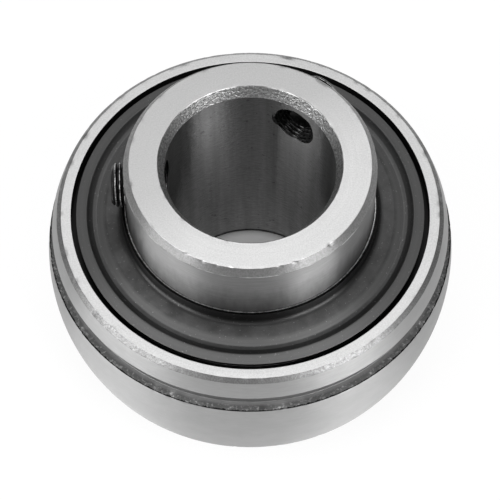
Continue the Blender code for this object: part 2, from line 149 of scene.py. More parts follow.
# %% World
WALL_LEVEL, CEILING_LEVEL = 0.11, 0.42      # what polished metal sees of the room
ROOM_LIGHT = 0.55                           # what the room gives to everything else
world = bpy.data.worlds.new("studio")
scene.world = world
world.use_nodes = True
tree = world.node_tree
tree.nodes.clear()
rays = add_node(tree, "ShaderNodeLightPath").outputs
seen = reckon(tree, "MAXIMUM", rays["Is Glossy Ray"], rays["Is Transmission Ray"])
seen = reckon(tree, "MAXIMUM", rays["Is Camera Ray"], seen)
direction = feed(tree, "ShaderNodeTexCoord", output="Generated")
upward = feed(tree, "ShaderNodeSeparateXYZ", {0: direction}, "Z")
room = ramp(tree, upward, 0.10, 0.75, WALL_LEVEL, CEILING_LEVEL)
room = reckon(tree, "MAXIMUM", room, rays["Is Camera Ray"])
level = feed(tree, "ShaderNodeMix", {"Factor": seen, 2: ROOM_LIGHT, 3: room}, data_type="FLOAT")
sky = feed(tree, "ShaderNodeBackground", {"Color": WHITE, "Strength": level})
add_node(tree, "ShaderNodeOutputWorld", {"Surface": sky})
scene.view_settings.view_transform = "Standard"


# %% Softboxes
def softbox(name, azimuth, elevation, distance, width, height, watts):
    """A soft lamp aimed at the balls' plane; azimuth 0 is the camera's side, and 90 the right."""
    data = bpy.data.lights.new(name, "AREA")
    data.shape = "RECTANGLE"
    data.size, data.size_y = width, height
    data.energy = watts
    lamp = bpy.data.objects.new(name, data)
    around, up = math.radians(azimuth), math.radians(elevation)
    offset = Vector((math.sin(around) * math.cos(up), -math.cos(around) * math.cos(up), math.sin(up)))
    lamp.location = BEARING_CENTER + offset * distance
    lamp.rotation_mode = "QUATERNION"
    lamp.rotation_quaternion = offset.to_track_quat("Z", "Y")
    scene.collection.objects.link(lamp)


softbox("softbox_overhead", 180.0, 84.0, 0.40, 0.24, 0.51, 0.53)
softbox("softbox_left", -62.0, 34.0, 0.60, 0.44, 0.40, 2.75)
softbox("softbox_right", 47.0, 34.0, 0.60, 0.32, 0.40, 2.5)

# %% [markdown]
# ## A finish, and where it is on the ring
# Turned steel shows what happened to it: tools and stones leave marks that run round the axis, and
# they differ by height and radius. Every finish therefore starts from the same small set of nodes.
# They read the object's own coordinates, which are also the bearing's, and give the place in
# millimetres, the radius and the height over the balls' plane. A finish then blends two tones by a
# grain, tints them where a mask says so, and ends with a bump of a real depth.


# %% Finish
class Finish:
    """A Principled material in the making, with its tone so far and its place on the ring."""

    def __init__(self, name, color, roughness, metallic=1.0):
        self.material = bpy.data.materials.new(name)
        self.material.use_nodes = True
        self.tree = self.material.node_tree
        self.shader = self.tree.nodes["Principled BSDF"]
        self.shader.inputs["Base Color"].default_value = paint(color)
        self.shader.inputs["Metallic"].default_value = metallic
        self.shader.inputs["Roughness"].default_value = roughness
        self.tone = None
        spot = feed(self.tree, "ShaderNodeTexCoord", output="Object")
        self.place = self.vector("SCALE", {0: spot, "Scale": 1.0 / MM}, "Vector")
        flat = self.vector("MULTIPLY", {0: self.place, 1: (1.0, 1.0, 0.0)}, "Vector")
        self.radius = self.vector("LENGTH", {0: flat})
        over_table = feed(self.tree, "ShaderNodeSeparateXYZ", {0: self.place}, "Z")
        self.height = reckon(self.tree, "SUBTRACT", over_table, BALL_PLANE)

    def vector(self, operation, inputs, output="Value"):
        """Outcome of a vector math node."""
        return feed(self.tree, "ShaderNodeVectorMath", inputs, output, operation=operation)

    def grain(self, scale, detail=3.0, low=0.3, high=0.7, stretch=(1.0, 1.0, 1.0),
              turn=(0.0, 0.0, 0.0), place=None):
        """Noise over the place in millimetres, stretched per axis, spread to the full 0 to 1."""
        mapped = feed(self.tree, "ShaderNodeMapping", {
            "Vector": self.place if place is None else place, "Scale": stretch, "Rotation": turn})
        speck = feed(self.tree, "ShaderNodeTexNoise", {
            "Vector": mapped, "Scale": scale, "Detail": detail, "Roughness": 0.6}, "Fac")
        return ramp(self.tree, speck, low, high)

    def turning_marks(self, lines_per_mm):
        """Lines that run round the axis, on faces and on walls, one set for every tool step."""
        both = feed(self.tree, "ShaderNodeCombineXYZ", {"X": self.radius, "Y": self.height})
        return self.grain(1.0, 2.0, stretch=(lines_per_mm, lines_per_mm, 0.0), place=both)

    def mix(self, factor, first, second):
        """Mix of two colours, each a hex value or an output."""
        first, second = (paint(color) if isinstance(color, str) else color for color in (first, second))
        return feed(self.tree, "ShaderNodeMix", {0: factor, 6: first, 7: second}, 2, data_type="RGBA")

    def blend(self, pattern, first, second):
        """Start the tone as a blend of two."""
        self.tone = self.mix(pattern, first, second)

    def tint(self, mask, color, share=1.0):
        """Tint the tone where the mask is, by a share of it."""
        if share < 1.0:
            mask = reckon(self.tree, "MULTIPLY", mask, share)
        self.tone = self.mix(mask, self.tone, color)

    def done(self, pattern, depth_mm, first_rough, second_rough, drawn_out=0.0):
        """The material, with its tone, a bump and a roughness that follow the same pattern.

        Marks that run round the axis draw the highlights out across them.
        """
        bump = feed(self.tree, "ShaderNodeBump", {
            "Height": pattern, "Strength": 1.0, "Distance": depth_mm * MM})
        links = {"Base Color": self.tone, "Normal": bump,
                 "Roughness": ramp(self.tree, pattern, 0.0, 1.0, first_rough, second_rough)}
        if drawn_out > 0.0:
            self.shader.inputs["Anisotropic"].default_value = drawn_out
            self.shader.inputs["Anisotropic Rotation"].default_value = 0.25
            links["Tangent"] = feed(
                self.tree, "ShaderNodeTangent", direction_type="RADIAL", axis="Z")
        for socket, output in links.items():
            self.tree.links.new(output, self.shader.inputs[socket])
        return self.material


def two_tone(name, color, roughness, grain, tones, bump, metallic=1.0):
    """A simple finish: a grain of (scale, detail), two tones and (depth, two roughnesses)."""
    finish = Finish(name, color, roughness, metallic)
    pattern = finish.grain(*grain)
    finish.blend(pattern, *tones)
    return finish.done(pattern, *bump)


# %% [markdown]
# ## Bearing steel, one finish per operation
# Both rings are through-hardened chrome steel, about the same grey all over. What makes them look
# different from face to face is the last operation: ground end faces are bright with a fine
# random grain, the sphere and raceways are stoned to a soft sheen, chamfers keep their turning
# marks, and what no wheel reaches keeps the dark skin of the furnace.


# %% Ground end faces
def ground_face():
    """Cup wheel grinding: bright, fine grained, with a few short scratches and painted shade to the back
    left.
    """
    finish = Finish("ground_chrome_steel_face", "#c4c4c4", 0.34)
    fine = finish.grain(6.0, 4.0)
    finish.blend(fine, "#b6b6b6", "#d2d2d2")
    finish.tint(finish.turning_marks(5.0), "#a4a4a4", 0.18)
    finish.tint(finish.grain(0.22, 2.0), "#d6d6d6", 0.2)
    for turn, share in ((0.5, 0.5), (2.2, 0.35)):
        scratch = finish.grain(3.0, 1.0, 0.80, 0.84, (0.3, 4.5, 0.3), (0.0, 0.0, turn))
        finish.tint(scratch, "#efefef", share)
    # Painted shade: the collar's face turns darker towards its back left.
    to_back_left = finish.vector("DOT_PRODUCT", {0: finish.place, 1: (-0.6, 0.8, 0.0)})
    back_left_shade = ramp(finish.tree, to_back_left, -5.3, 3.5, 0.0, 0.75)
    on_collar = reckon(finish.tree, "GREATER_THAN", finish.height, 12.0)
    collar_back_shade = reckon(finish.tree, "MULTIPLY", back_left_shade, on_collar)
    finish.tint(collar_back_shade, finish.mix(fine, "#a4a4a4", "#b4b4b4"))
    return finish.done(fine, 0.002, 0.32, 0.38)


GROUND_FACE = ground_face()


# %% [markdown]
# ### Superfinished sphere
# The outside seats in a housing, so it is ground on the sphere and then stoned. The stone leaves a
# greyer, softer sheen than the faces, with faint lines round the ring, a few cloudy patches and
# the stray handling mark.


# %% Sphere
def stoned_sphere():
    """Soft grey sheen, with lines round the ring and cloudy patches."""
    finish = Finish("stoned_chrome_steel_sphere", "#a8a8a8", 0.36)
    lines = finish.grain(7.0, stretch=(0.08, 0.08, 1.0))
    finish.blend(lines, "#a6a6a6", "#b0b0b0")
    finish.tint(finish.grain(0.33, stretch=(1.0, 1.0, 1.6)), "#9a9a9a", 0.35)
    finish.tint(finish.grain(2.4, 3.0, 0.70, 0.78, (0.5, 0.5, 1.0)), "#d2d2d2", 0.4)
    return finish.done(lines, 0.0003, 0.42, 0.47, 0.9)


STONED_SPHERE = stoned_sphere()


# %% [markdown]
# ### Turned chamfers
# A chamfer is left as the lathe cut it before hardening. It is duller than the ground faces beside
# it, and barrel tumbling has peppered it with small dents, which show as dark and light specks. The
# short side's chamfer in the bore is painted shade: a dead dark grey, which is no metal.


# %% Chamfers
def turned_chamfer(name, tones, dent, cell_mm, depth_mm, drawn_out=0.0):
    """Lathe finish of two tones with the specks of tumbling and heat treatment."""
    finish = Finish(name, tones[0], 0.42)
    specks = finish.grain(1.0 / cell_mm, 2.4, 0.34, 0.66)
    finish.blend(specks, *tones)
    finish.tint(finish.grain(1.7 / cell_mm, 2.0, 0.60, 0.68), dent, 0.6)
    return finish.done(specks, depth_mm, 0.48, 0.34, drawn_out)


FACE_CHAMFER = turned_chamfer(
    "turned_steel_face_chamfer", ("#707070", "#8a8a8a"), "#5a5a5a", 0.18, 0.003)
BORE_CHAMFER = turned_chamfer(
    "turned_steel_bore_chamfer", ("#868686", "#d4d4d4"), "#484848", 0.27, 0.024)
COLLAR_CHAMFER = turned_chamfer(
    "turned_steel_collar_chamfer", ("#848484", "#949494"), "#707070", 0.22, 0.002, 0.85)
# Painted shade: the short side's chamfer in the bore is a dead dark grey, with no metal and no shine.
SHORT_CHAMFER = turned_chamfer(
    "painted_shade_short_bore_chamfer", ("#606060", "#707070"), "#505050", 0.24, 0.002)
short_chamfer_shader = SHORT_CHAMFER.node_tree.nodes["Principled BSDF"]
short_chamfer_shader.inputs["Metallic"].default_value = 0.0
short_chamfer_shader.inputs["Specular IOR Level"].default_value = 0.0


# %% [markdown]
# ### Burnished edges
# The corners between a ground face and what lies beside it are the places that every tray, chute
# and hand has touched. They are rubbed bright, and show in the photo as hair lines of light.


# %% Burnished edge
def burnished_edge():
    """Rubbed smooth and light, broken here and there by a duller stretch."""
    finish = Finish("burnished_steel_edge", "#b8b8b8", 0.28)
    worn = finish.grain(1.4, 3.0, 0.35, 0.65)
    finish.blend(worn, "#acacac", "#d4d4d4")
    finish.tint(finish.grain(0.3, 2.0, 0.44, 0.56), "#6c6c6c")
    return finish.done(worn, 0.001, 0.46, 0.34)


BURNISHED = burnished_edge()


# %% [markdown]
# ### Furnace skin in the grooves
# No wheel reaches into the lubrication groove or the seal seats, so they keep the dark grey skin
# of hardening. The groove's floor is smooth. Its lower side is darker and flecked where it has
# chipped, down to a torn black line at the lip, a painted shadow of the chips. The seats of the
# seals are painted darker as painted shade.


# %% Hardened skin
def hardened_skin():
    """Dark scale, flecked where the groove's lower side has chipped; painted shade in the seats and at
    the lip.
    """
    finish = Finish("hardened_steel_skin", "#565656", 0.5)
    tree, radius = finish.tree, finish.radius
    # Painted shade darkens the seal seats inside the ring, and a painted shadow of the chips lines the
    # groove's lower lip.
    seat_shade = ramp(tree, radius, 21.9, 21.6)
    on_side = ramp(tree, radius, 22.35, 22.65)
    chipped = reckon(tree, "MULTIPLY", finish.grain(2.8, 4.0, 0.52, 0.70), on_side)
    torn = reckon(tree, "MULTIPLY_ADD", finish.grain(2.2, 3.0, 0.35, 0.65), 0.16, radius)
    lip_shadow = ramp(tree, torn, 23.13, 23.19)
    finish.blend(finish.grain(1.6, stretch=(0.5, 0.5, 1.6)), "#7e7e7e", "#8a8a8a")
    for mask, color in ((seat_shade, "#444444"), (on_side, "#606060"), (chipped, "#9c9c9c"),
                        (lip_shadow, "#1c1c1c")):
        finish.tint(mask, color)
    return finish.done(chipped, 0.010, 0.52, 0.42)


HARDENED_SKIN = hardened_skin()


# %% [markdown]
# ### Raceways, bore and shoulder
# The raceways are stoned almost to a mirror. The bore is honed to the shaft's fit and has been
# tried on a shaft, so it carries a fine crosshatch, faint upright rubs and small smudges. The
# shoulder outside is plunge ground, with its lines running round. Painted shade darkens its foot,
# and more painted shade lies round the screws' holes.


# %% Raceway, bore and shoulder
SHOULDER_R = 14.052
SCREW_Z, SCREW_AZIMUTHS = 13.7, (180.0, 57.5)


def stoned_raceway():
    """Nearly a mirror, with the finest lines round the ring."""
    finish = Finish("stoned_raceway", "#c8c8c8", 0.14)
    lines = finish.turning_marks(9.0)
    finish.blend(lines, "#c2c2c2", "#cecece")
    return finish.done(lines, 0.0003, 0.12, 0.18)


def honed_bore():
    """Dark crosshatch with upright rubs from a shaft."""
    finish = Finish("honed_bore", "#7c7c7c", 0.34)
    hatch = finish.grain(1.6, 2.5, stretch=(0.8, 0.8, 2.4))
    finish.blend(finish.grain(0.9, stretch=(1.0, 1.0, 0.05)), "#6e6e6e", "#828282")
    finish.tint(hatch, "#5c5c5c", 0.35)
    finish.tint(finish.grain(1.6, 2.0, 0.66, 0.72), "#363636", 0.5)
    return finish.done(hatch, 0.028, 0.36, 0.44, 1.0)


def ground_shoulder():
    """Plunge ground: clear lines round the ring, a drawn-out highlight, and painted shade at foot and
    holes.
    """
    finish = Finish("ground_shoulder", "#9a9a9a", 0.32)
    tree = finish.tree
    lines = finish.grain(8.0, stretch=(0.05, 0.05, 1.0))
    finish.blend(lines, "#868686", "#989898")
    finish.tint(finish.grain(0.5, 2.0), "#7c7c7c", 0.3)
    # Painted shade: the shoulder darkens towards its foot in a ragged line, and round the mouths of the
    # screws' holes.
    ragged_noise = finish.grain(1.3, 4.0, stretch=(1.0, 1.0, 0.3))
    foot_shade_level = reckon(tree, "MULTIPLY_ADD", ragged_noise, 1.4, finish.height)
    finish.tint(ramp(tree, foot_shade_level, 15.6, 10.4, 0.0, 0.75), "#3c3c3c")
    for azimuth in SCREW_AZIMUTHS:
        turn = math.radians(azimuth)
        mouth = (SHOULDER_R * math.cos(turn), SHOULDER_R * math.sin(turn), BALL_PLANE + SCREW_Z)
        away = finish.vector("DISTANCE", {0: finish.place, 1: mouth})
        ragged = reckon(tree, "MULTIPLY_ADD", ragged_noise, 2.0, away)
        finish.tint(ramp(tree, ragged, 9.5, 3.5, 0.0, 0.85), "#2c2c2c")
    return finish.done(lines, 0.0003, 0.42, 0.47, 1.0)


STONED_RACEWAY = stoned_raceway()
HONED_BORE = honed_bore()
GROUND_SHOULDER = ground_shoulder()

# %% [markdown]
# ## Turning a profile
# A bearing ring is a lathe part: one outline, turned about the axis. Each outline is a list of
# corners in millimetres with the finish of the strip that follows, so the finishes meet exactly
# on the edges. Real edges are broken, never sharp, and they catch the light. The corners are
# therefore eased with a small arc, and rings close beside each arc keep the broad faces flat in
# the shading. A corner that is rubbed bright names the finish of its own arc. A square corner can
# have a radius of its own, for sheet that is bent softly but cut sharply.


# %% Eased outlines
EDGE_BANDS = (0.32, 0.40)   # widths beside an edge that its chips may disturb, in millimetres
LEAST_BANDED = 0.9          # a shorter strip has no such bands
LEAST_BEND, SQUARE_BEND = math.radians(14.0), math.radians(75.0)
MOST_OF_STRIP = 0.42        # share of a strip that the arc at one end may take
GUARD_SHARE, WIDEST_GUARD = 0.3, 0.04       # a narrow strip on either side of an arc
WELD_DISTANCE = 0.0002 * MM


def eased(outline, radius, segments=3, square_radius=None, unchipped=()):
    """The outline with an arc at each corner; unchipped finishes get no edge bands.

    Its items are (r, z, finish of the next strip[, finish of the arc]).
    """
    result = []
    for index, (r, z, finish, *rubbed) in enumerate(outline):
        here = Vector((r, z))
        before = Vector(outline[index - 1][:2]) - here
        after = Vector(outline[(index + 1) % len(outline)][:2]) - here
        bend = math.pi - before.angle(after, math.pi)
        if bend < LEAST_BEND:
            result.append((r, z, finish))
            continue
        corner_radius = square_radius if square_radius and bend > SQUARE_BEND else radius
        shorter = min(before.length, after.length)
        reach = min(corner_radius * math.tan(bend / 2), shorter * MOST_OF_STRIP)
        back, ahead = before.normalized(), after.normalized()
        start, end = here + back * reach, here + ahead * reach
        last = outline[index - 1][2]
        guard = min(GUARD_SHARE * reach, WIDEST_GUARD)
        if before.length > LEAST_BANDED and last not in unchipped:
            result += [(*(here + back * width), last) for width in reversed(EDGE_BANDS)]
        result.append((*(start + back * guard), last))
        for step in range(segments + 1):
            t = step / segments
            point = start * (1 - t) ** 2 + here * 2 * t * (1 - t) + end * t ** 2
            on_arc = last if t < 0.5 else finish
            if rubbed and t < 1.0:
                on_arc = rubbed[0]
            result.append((*point, on_arc))
        result.append((*(end + ahead * guard), finish))
        if after.length > LEAST_BANDED and finish not in unchipped:
            result += [(*(here + ahead * width), finish) for width in EDGE_BANDS]
    return result


def arc(center_r, center_z, radius, start, end, segments, finish):
    """Points of an arc in an outline; angles in degrees from the direction away from the axis."""
    points = []
    for index in range(segments + 1):
        angle = math.radians(start + (end - start) * index / segments)
        points.append((center_r + radius * math.cos(angle), center_z + radius * math.sin(angle), finish))
    return points


# %% Turned meshes
def turn_mesh(name, outline, steps, materials, closed=True):
    """A turned mesh; the outline runs so that its outer side faces out."""
    rows = len(outline)
    verts, faces, finishes = [], [], []
    for step in range(steps):
        angle = 2 * math.pi * step / steps
        for r, z, _ in outline:
            verts.append((r * math.cos(angle) * MM, r * math.sin(angle) * MM, (z + BALL_PLANE) * MM))
    for step in range(steps):
        here, there = step * rows, (step + 1) % steps * rows
        for row in range(rows if closed else rows - 1):
            up = (row + 1) % rows
            faces.append((here + row, there + row, there + up, here + up))
            finishes.append(outline[row][2])
    mesh = bpy.data.meshes.new(name)
    mesh.from_pydata(verts, [], faces)
    for material in materials:
        mesh.materials.append(material)
    mesh.polygons.foreach_set("material_index", finishes)
    tidy(mesh)
    return mesh


def tidy(mesh, sharp=32.0):
    """Weld doubles, face the skin outwards and keep the true edges sharp."""
    work = bmesh.new()
    work.from_mesh(mesh)
    bmesh.ops.remove_doubles(work, verts=work.verts, dist=WELD_DISTANCE)
    bmesh.ops.recalc_face_normals(work, faces=work.faces)
    if work.calc_volume(signed=True) < 0:
        bmesh.ops.reverse_faces(work, faces=work.faces)
    work.to_mesh(mesh)
    work.free()
    mesh.shade_smooth()
    mesh.set_sharp_from_angle(angle=math.radians(sharp))


def add_piece(name, mesh):
    """The mesh as an object of the scene, at the origin."""
    piece = bpy.data.objects.new(name, mesh)
    scene.collection.objects.link(piece)
    return piece


def turn_piece(name, outline, steps, *materials, closed=True):
    """A turned mesh as an object of the scene."""
    return add_piece(name, turn_mesh(name, outline, steps, materials, closed))


# %% [markdown]
# ## Outer ring
# The ring's outside is a slice of a 47 mm sphere, so that it can tilt in its housing. A groove near
# the top carries grease to two oil holes. Inside are the raceway and, on each side, the seat of
# the seal. The sphere comes straight from its radius, and the raceway from its own.

# %% Outer ring outline
SPHERE_R, HALF_WIDTH = 23.5, 8.5
LAND_R, RECESS_R, SEAL_GROOVE_R = 19.4, 20.42, 20.9
SEAL_TOP, SEAL_BOTTOM = 7.0, 6.1
GROOVE_TOP, GROOVE_BOTTOM, GROOVE_DEPTH, GROOVE_DRAFT = 5.85, 3.6, 0.65, 0.22
CHAMFER_TOP, CHAMFER_WIDTH = HALF_WIDTH - 0.45, 0.51
RACE_R, OUTER_RACE_R = 4.088, 21.02
FACE, SPHERE, CHAMFER, SKIN, RACE = range(5)


def sphere_radius(height):
    """Radius of the spherical outside at a height over the balls' plane."""
    return math.sqrt(SPHERE_R ** 2 - height ** 2)


CHAMFER_R = sphere_radius(CHAMFER_TOP)
FACE_R = CHAMFER_R - CHAMFER_WIDTH


def sphere_strip(top, bottom, segments):
    """The spherical outside between two heights."""
    angles = [math.degrees(math.asin(height / SPHERE_R)) for height in (top, bottom)]
    return arc(0.0, 0.0, SPHERE_R, *angles, segments, SPHERE)


def outer_ring_outline():
    """Down the outside and back up the inside, with a finish for every strip."""
    floor_r = sphere_radius(GROOVE_TOP) - GROOVE_DEPTH
    outline = [(FACE_R, HALF_WIDTH, CHAMFER), (CHAMFER_R, CHAMFER_TOP, SPHERE)]
    outline += sphere_strip(CHAMFER_TOP, GROOVE_TOP, 8)[1:-1]
    outline += [(sphere_radius(GROOVE_TOP), GROOVE_TOP, SKIN),
                (floor_r, GROOVE_TOP - GROOVE_DRAFT, SKIN),
                (floor_r, GROOVE_BOTTOM + GROOVE_DRAFT, SKIN)]
    outline += sphere_strip(GROOVE_BOTTOM, -CHAMFER_TOP, 28)[:-1]
    outline += [(CHAMFER_R, -CHAMFER_TOP, CHAMFER), (FACE_R, -HALF_WIDTH, FACE)]
    seat = [(RECESS_R, HALF_WIDTH), (RECESS_R, SEAL_TOP), (SEAL_GROOVE_R, SEAL_TOP),
            (SEAL_GROOVE_R, SEAL_BOTTOM), (LAND_R, SEAL_BOTTOM)]
    outline += [(r, -z, SKIN) for r, z in seat]
    race_center = OUTER_RACE_R - RACE_R
    opening = math.degrees(math.acos((LAND_R - race_center) / RACE_R))
    outline += arc(race_center, 0.0, RACE_R, -opening, opening, 26, RACE)[:-1]
    outline += [(LAND_R, RACE_R * math.sin(math.radians(opening)), SKIN)]
    outline += [(r, z, SKIN) for r, z in reversed(seat[1:])]
    return outline + [(RECESS_R, HALF_WIDTH, FACE)]


print("outer ring corners", len(outer_ring_outline()))

# %% [markdown]
# ### Chipped edges
# Hard steel doesn't dent at an edge, it chips. The lower lip of the groove and the rims of the end
# faces are pushed in by a noise that is zero most of the way round and bites here and there. The
# bites are a few hundredths of a millimetre deep, up to a tenth along the groove.

# %% Chips
SECTION_MIDDLE = Vector((21.0, 0.0))        # a chip pushes an edge towards this radius and height
CHIPS = [       # radius and height of the edge, reach, depth, start, frequency and seed
    (sphere_radius(GROOVE_BOTTOM), GROOVE_BOTTOM, 0.28, 0.22, 0.02, 1.1, 3.0),
    (sphere_radius(GROOVE_TOP), GROOVE_TOP, 0.16, 0.10, 0.18, 0.9, 9.0)]
for side in (1, -1):
    CHIPS += [(FACE_R, side * HALF_WIDTH, 0.18, 0.09, 0.19, 1.2, 5.0 + side),
              (CHAMFER_R, side * CHAMFER_TOP, 0.18, 0.10, 0.16, 1.3, 13.0 + side)]


def chip_edge(mesh, edge_r, edge_z, reach, depth, start, frequency, seed):
    """Push the mesh in along one edge circle, where a noise passes its start value."""
    for vert in mesh.vertices:
        x, y, z = (value / MM for value in vert.co)
        here = Vector((math.hypot(x, y), z - BALL_PLANE))
        gap = (here - Vector((edge_r, edge_z))).length
        if gap > reach:
            continue
        spot = Vector((x, y, z)) * frequency + Vector((seed, 0.0, 0.0))
        bite = max(0.0, noise.fractal(spot, 0.8, 2.0, 3) - start)
        push = (SECTION_MIDDLE - here).normalized() * min(bite, 1.0) * depth * (1.0 - gap / reach)
        moved = here + push
        vert.co = (x * moved.x / here.x * MM, y * moved.x / here.x * MM, (moved.y + BALL_PLANE) * MM)


outer_ring = turn_piece("outer_ring_fine", eased(outer_ring_outline(), 0.07, unchipped=(SKIN,)), 480,
                        GROUND_FACE, STONED_SPHERE, FACE_CHAMFER, HARDENED_SKIN, STONED_RACEWAY)
for chips in CHIPS:
    chip_edge(outer_ring.data, *chips)
print("outer ring", len(outer_ring.data.polygons), "faces")


# %% [markdown]
# ### Nicks
# The collar's face has also been knocked against other rings in the tray. Each knock is a small
# dent at one azimuth, so these are placed one by one and not by a noise.


# %% Nicks
def nick_edge(mesh, edge_r, edge_z, azimuths, width, depth):
    """Dent the edge circle at each azimuth, by a depth that fades over the width, in millimetres."""
    for vert in mesh.vertices:
        x, y, z = (value / MM for value in vert.co)
        gap = math.hypot(math.hypot(x, y) - edge_r, z - BALL_PLANE - edge_z)
        if gap > width:
            continue
        for azimuth in azimuths:
            turn = math.radians(azimuth)
            away = math.hypot(x - edge_r * math.cos(turn), y - edge_r * math.sin(turn))
            if away < width:
                dent = depth * (1.0 - away / width) * (1.0 - gap / width)
                vert.co.z -= dent * MM
                vert.co.x *= 1.0 - dent / edge_r
                vert.co.y *= 1.0 - dent / edge_r


print("a nick stays inside", EDGE_BANDS[0], "mm, so that the broad faces keep their shading")


# %% [markdown]
# ### Oil holes
# Two 2 mm holes are drilled from the groove's floor into the ball space, 120 degrees apart. They
# are the ring's only feature that isn't turned, so two drills are set at their azimuths and taken
# out of the ring with a boolean.


# %% Drill and boolean helpers
def drill_mesh(name, radius, length, segments, material):
    """A straight drill along local Z from zero to its length, in millimetres."""
    work = bmesh.new()
    bmesh.ops.create_cone(
        work, cap_ends=True, segments=segments, radius1=radius * MM, radius2=radius * MM,
        depth=length * MM, matrix=Matrix.Translation((0, 0, length / 2 * MM)))
    mesh = bpy.data.meshes.new(name)
    work.to_mesh(mesh)
    work.free()
    mesh.materials.append(material)
    return mesh


def radial_place(azimuth, height, radius=0.0):
    """Placement whose local Z points out of the bearing, at a height over the balls' plane."""
    turn = Matrix.Rotation(math.radians(azimuth), 4, "Z") @ Matrix.Rotation(math.pi / 2, 4, "Y")
    lift = Matrix.Translation((0.0, 0.0, (height + BALL_PLANE) * MM))
    return lift @ turn @ Matrix.Translation((0.0, 0.0, radius * MM))


def bake_modifiers(piece):
    """Turn the evaluated shape into the piece's plain mesh, and drop the modifiers."""
    depsgraph = bpy.context.evaluated_depsgraph_get()
    mesh = bpy.data.meshes.new_from_object(piece.evaluated_get(depsgraph), depsgraph=depsgraph)
    piece.modifiers.clear()
    piece.data = mesh
    tidy(mesh)


def cut_all(piece, cutters):
    """Take the cutters out of the piece for good, and keep their own finish on the new walls."""
    for cutter in cutters:
        boolean = piece.modifiers.new(cutter.name, "BOOLEAN")
        boolean.operation = "DIFFERENCE"
        boolean.solver = "EXACT"
        boolean.material_mode = "TRANSFER"
        boolean.object = cutter
    bake_modifiers(piece)
    for cutter in cutters:
        bpy.data.objects.remove(cutter)


OIL_HOLE_R, OIL_AZIMUTHS = 1.0, (30.0, 150.0)
DRILL_START, DRILL_LENGTH = 18.0, 7.0       # from inside the raceway to outside the ring
oil_drills = []
for number, azimuth in enumerate(OIL_AZIMUTHS, 1):
    drill = drill_mesh("oil_drill", OIL_HOLE_R, DRILL_LENGTH, 40, HARDENED_SKIN)
    drill.transform(radial_place(azimuth, (GROOVE_TOP + GROOVE_BOTTOM) / 2, DRILL_START))
    oil_drills.append(add_piece(f"oil_drill_{number}", drill))
cut_all(outer_ring, oil_drills)
print("outer ring with holes", len(outer_ring.data.polygons), "faces")

# %% [markdown]
# ## Inner ring
# The inner ring is wider than the outer one. Its long side is the collar that two set screws clamp
# to the shaft. The outline is turned like the outer one, and each of its strips has its own
# finish. The chamfer at the bore is the roughest of them, and on the short side it is painted shade.

# %% Inner ring
BORE_R, INNER_RACE_R = 9.525, 12.482
LONG_SIDE, SHORT_SIDE = 18.3, 12.7
COLLAR_FACE_R = SHOULDER_R - 0.62           # outer rim of the collar's ground face
COLLAR_DROP, SHORT_EDGE = 0.9, 0.6          # the outer chamfers of the two sides
BORE_DROP, SHORT_BORE_DROP = 1.3, 0.9       # the chamfers in the bore, and how far out they reach
LIP_R, MOUTH_R, SHORT_MOUTH_R = BORE_R + 0.68, BORE_R + 0.74, BORE_R + 0.25
LIP_DROP, LIP_CHIP_R = 0.045, BORE_R + 0.7
SHOULDER, COLLAR_EDGE, BORE_EDGE, BORE, WORN, DARK_EDGE = 1, 2, 3, 5, 6, 7
NICKS = (239.0, 247.5, 254.3, 261.0, 283.6, 291.0, 309.6)      # azimuths in degrees


def inner_ring_outline():
    """Down the collar, the raceway and the short side, and back up the bore."""
    race_center = INNER_RACE_R + RACE_R
    opening = math.degrees(math.acos((race_center - SHOULDER_R) / RACE_R))
    race = arc(race_center, 0.0, RACE_R, 180.0 - opening, 180.0 + opening, 28, RACE)[:-1]
    return [
        (COLLAR_FACE_R, LONG_SIDE, COLLAR_EDGE),
        (SHOULDER_R, LONG_SIDE - COLLAR_DROP, SHOULDER, WORN), *race,
        (SHOULDER_R, -RACE_R * math.sin(math.radians(opening)), SHOULDER),
        (SHOULDER_R, SHORT_EDGE - SHORT_SIDE, COLLAR_EDGE),
        (SHOULDER_R - SHORT_EDGE, -SHORT_SIDE, FACE), (SHORT_MOUTH_R, -SHORT_SIDE, DARK_EDGE),
        (BORE_R, SHORT_BORE_DROP - SHORT_SIDE, BORE), (BORE_R, LONG_SIDE - BORE_DROP, BORE_EDGE),
        (LIP_R, LONG_SIDE - LIP_DROP, WORN), (MOUTH_R, LONG_SIDE, FACE, WORN)]


inner_ring = turn_piece(
    "inner_ring_fine", eased(inner_ring_outline(), 0.09), 360, GROUND_FACE, GROUND_SHOULDER,
    COLLAR_CHAMFER, BORE_CHAMFER, STONED_RACEWAY, HONED_BORE, BURNISHED, SHORT_CHAMFER)
chip_edge(inner_ring.data, COLLAR_FACE_R, LONG_SIDE, 0.16, 0.10, 0.22, 0.8, 21.0)
chip_edge(inner_ring.data, LIP_CHIP_R, LONG_SIDE, 0.20, 0.07, 0.16, 0.9, 27.0)
nick_edge(inner_ring.data, COLLAR_FACE_R, LONG_SIDE, NICKS, 0.23, 0.10)
print("inner ring", len(inner_ring.data.polygons), "faces")

# %% [markdown]
# ## Screw threads
# The set screws are M5 with a fine pitch of 0.5 mm. A thread is one rule: the radius at a place
# follows the height plus the angle, times the pitch. A grid wrapped round the axis takes that rule,
# and a blank with chamfers trims it, as the die does on the real screw. The same rule with a larger
# radius makes the tap that cuts the ring, so screw and hole match turn for turn.

# %% Thread
PITCH = 0.5
COLUMNS, ROWS_PER_PITCH = 56, 12
ROOT_FLAT, FLANK = 0.18, 0.62               # shares of half a pitch; the crest takes the rest


def thread_shape(phase):
    """0 at the root and 1 at the crest of a 60 degree thread, for a phase of 0 to 1."""
    slope = min(phase, 1.0 - phase) * 2.0
    return min(1.0, max(0.0, (slope - ROOT_FLAT) / FLANK))


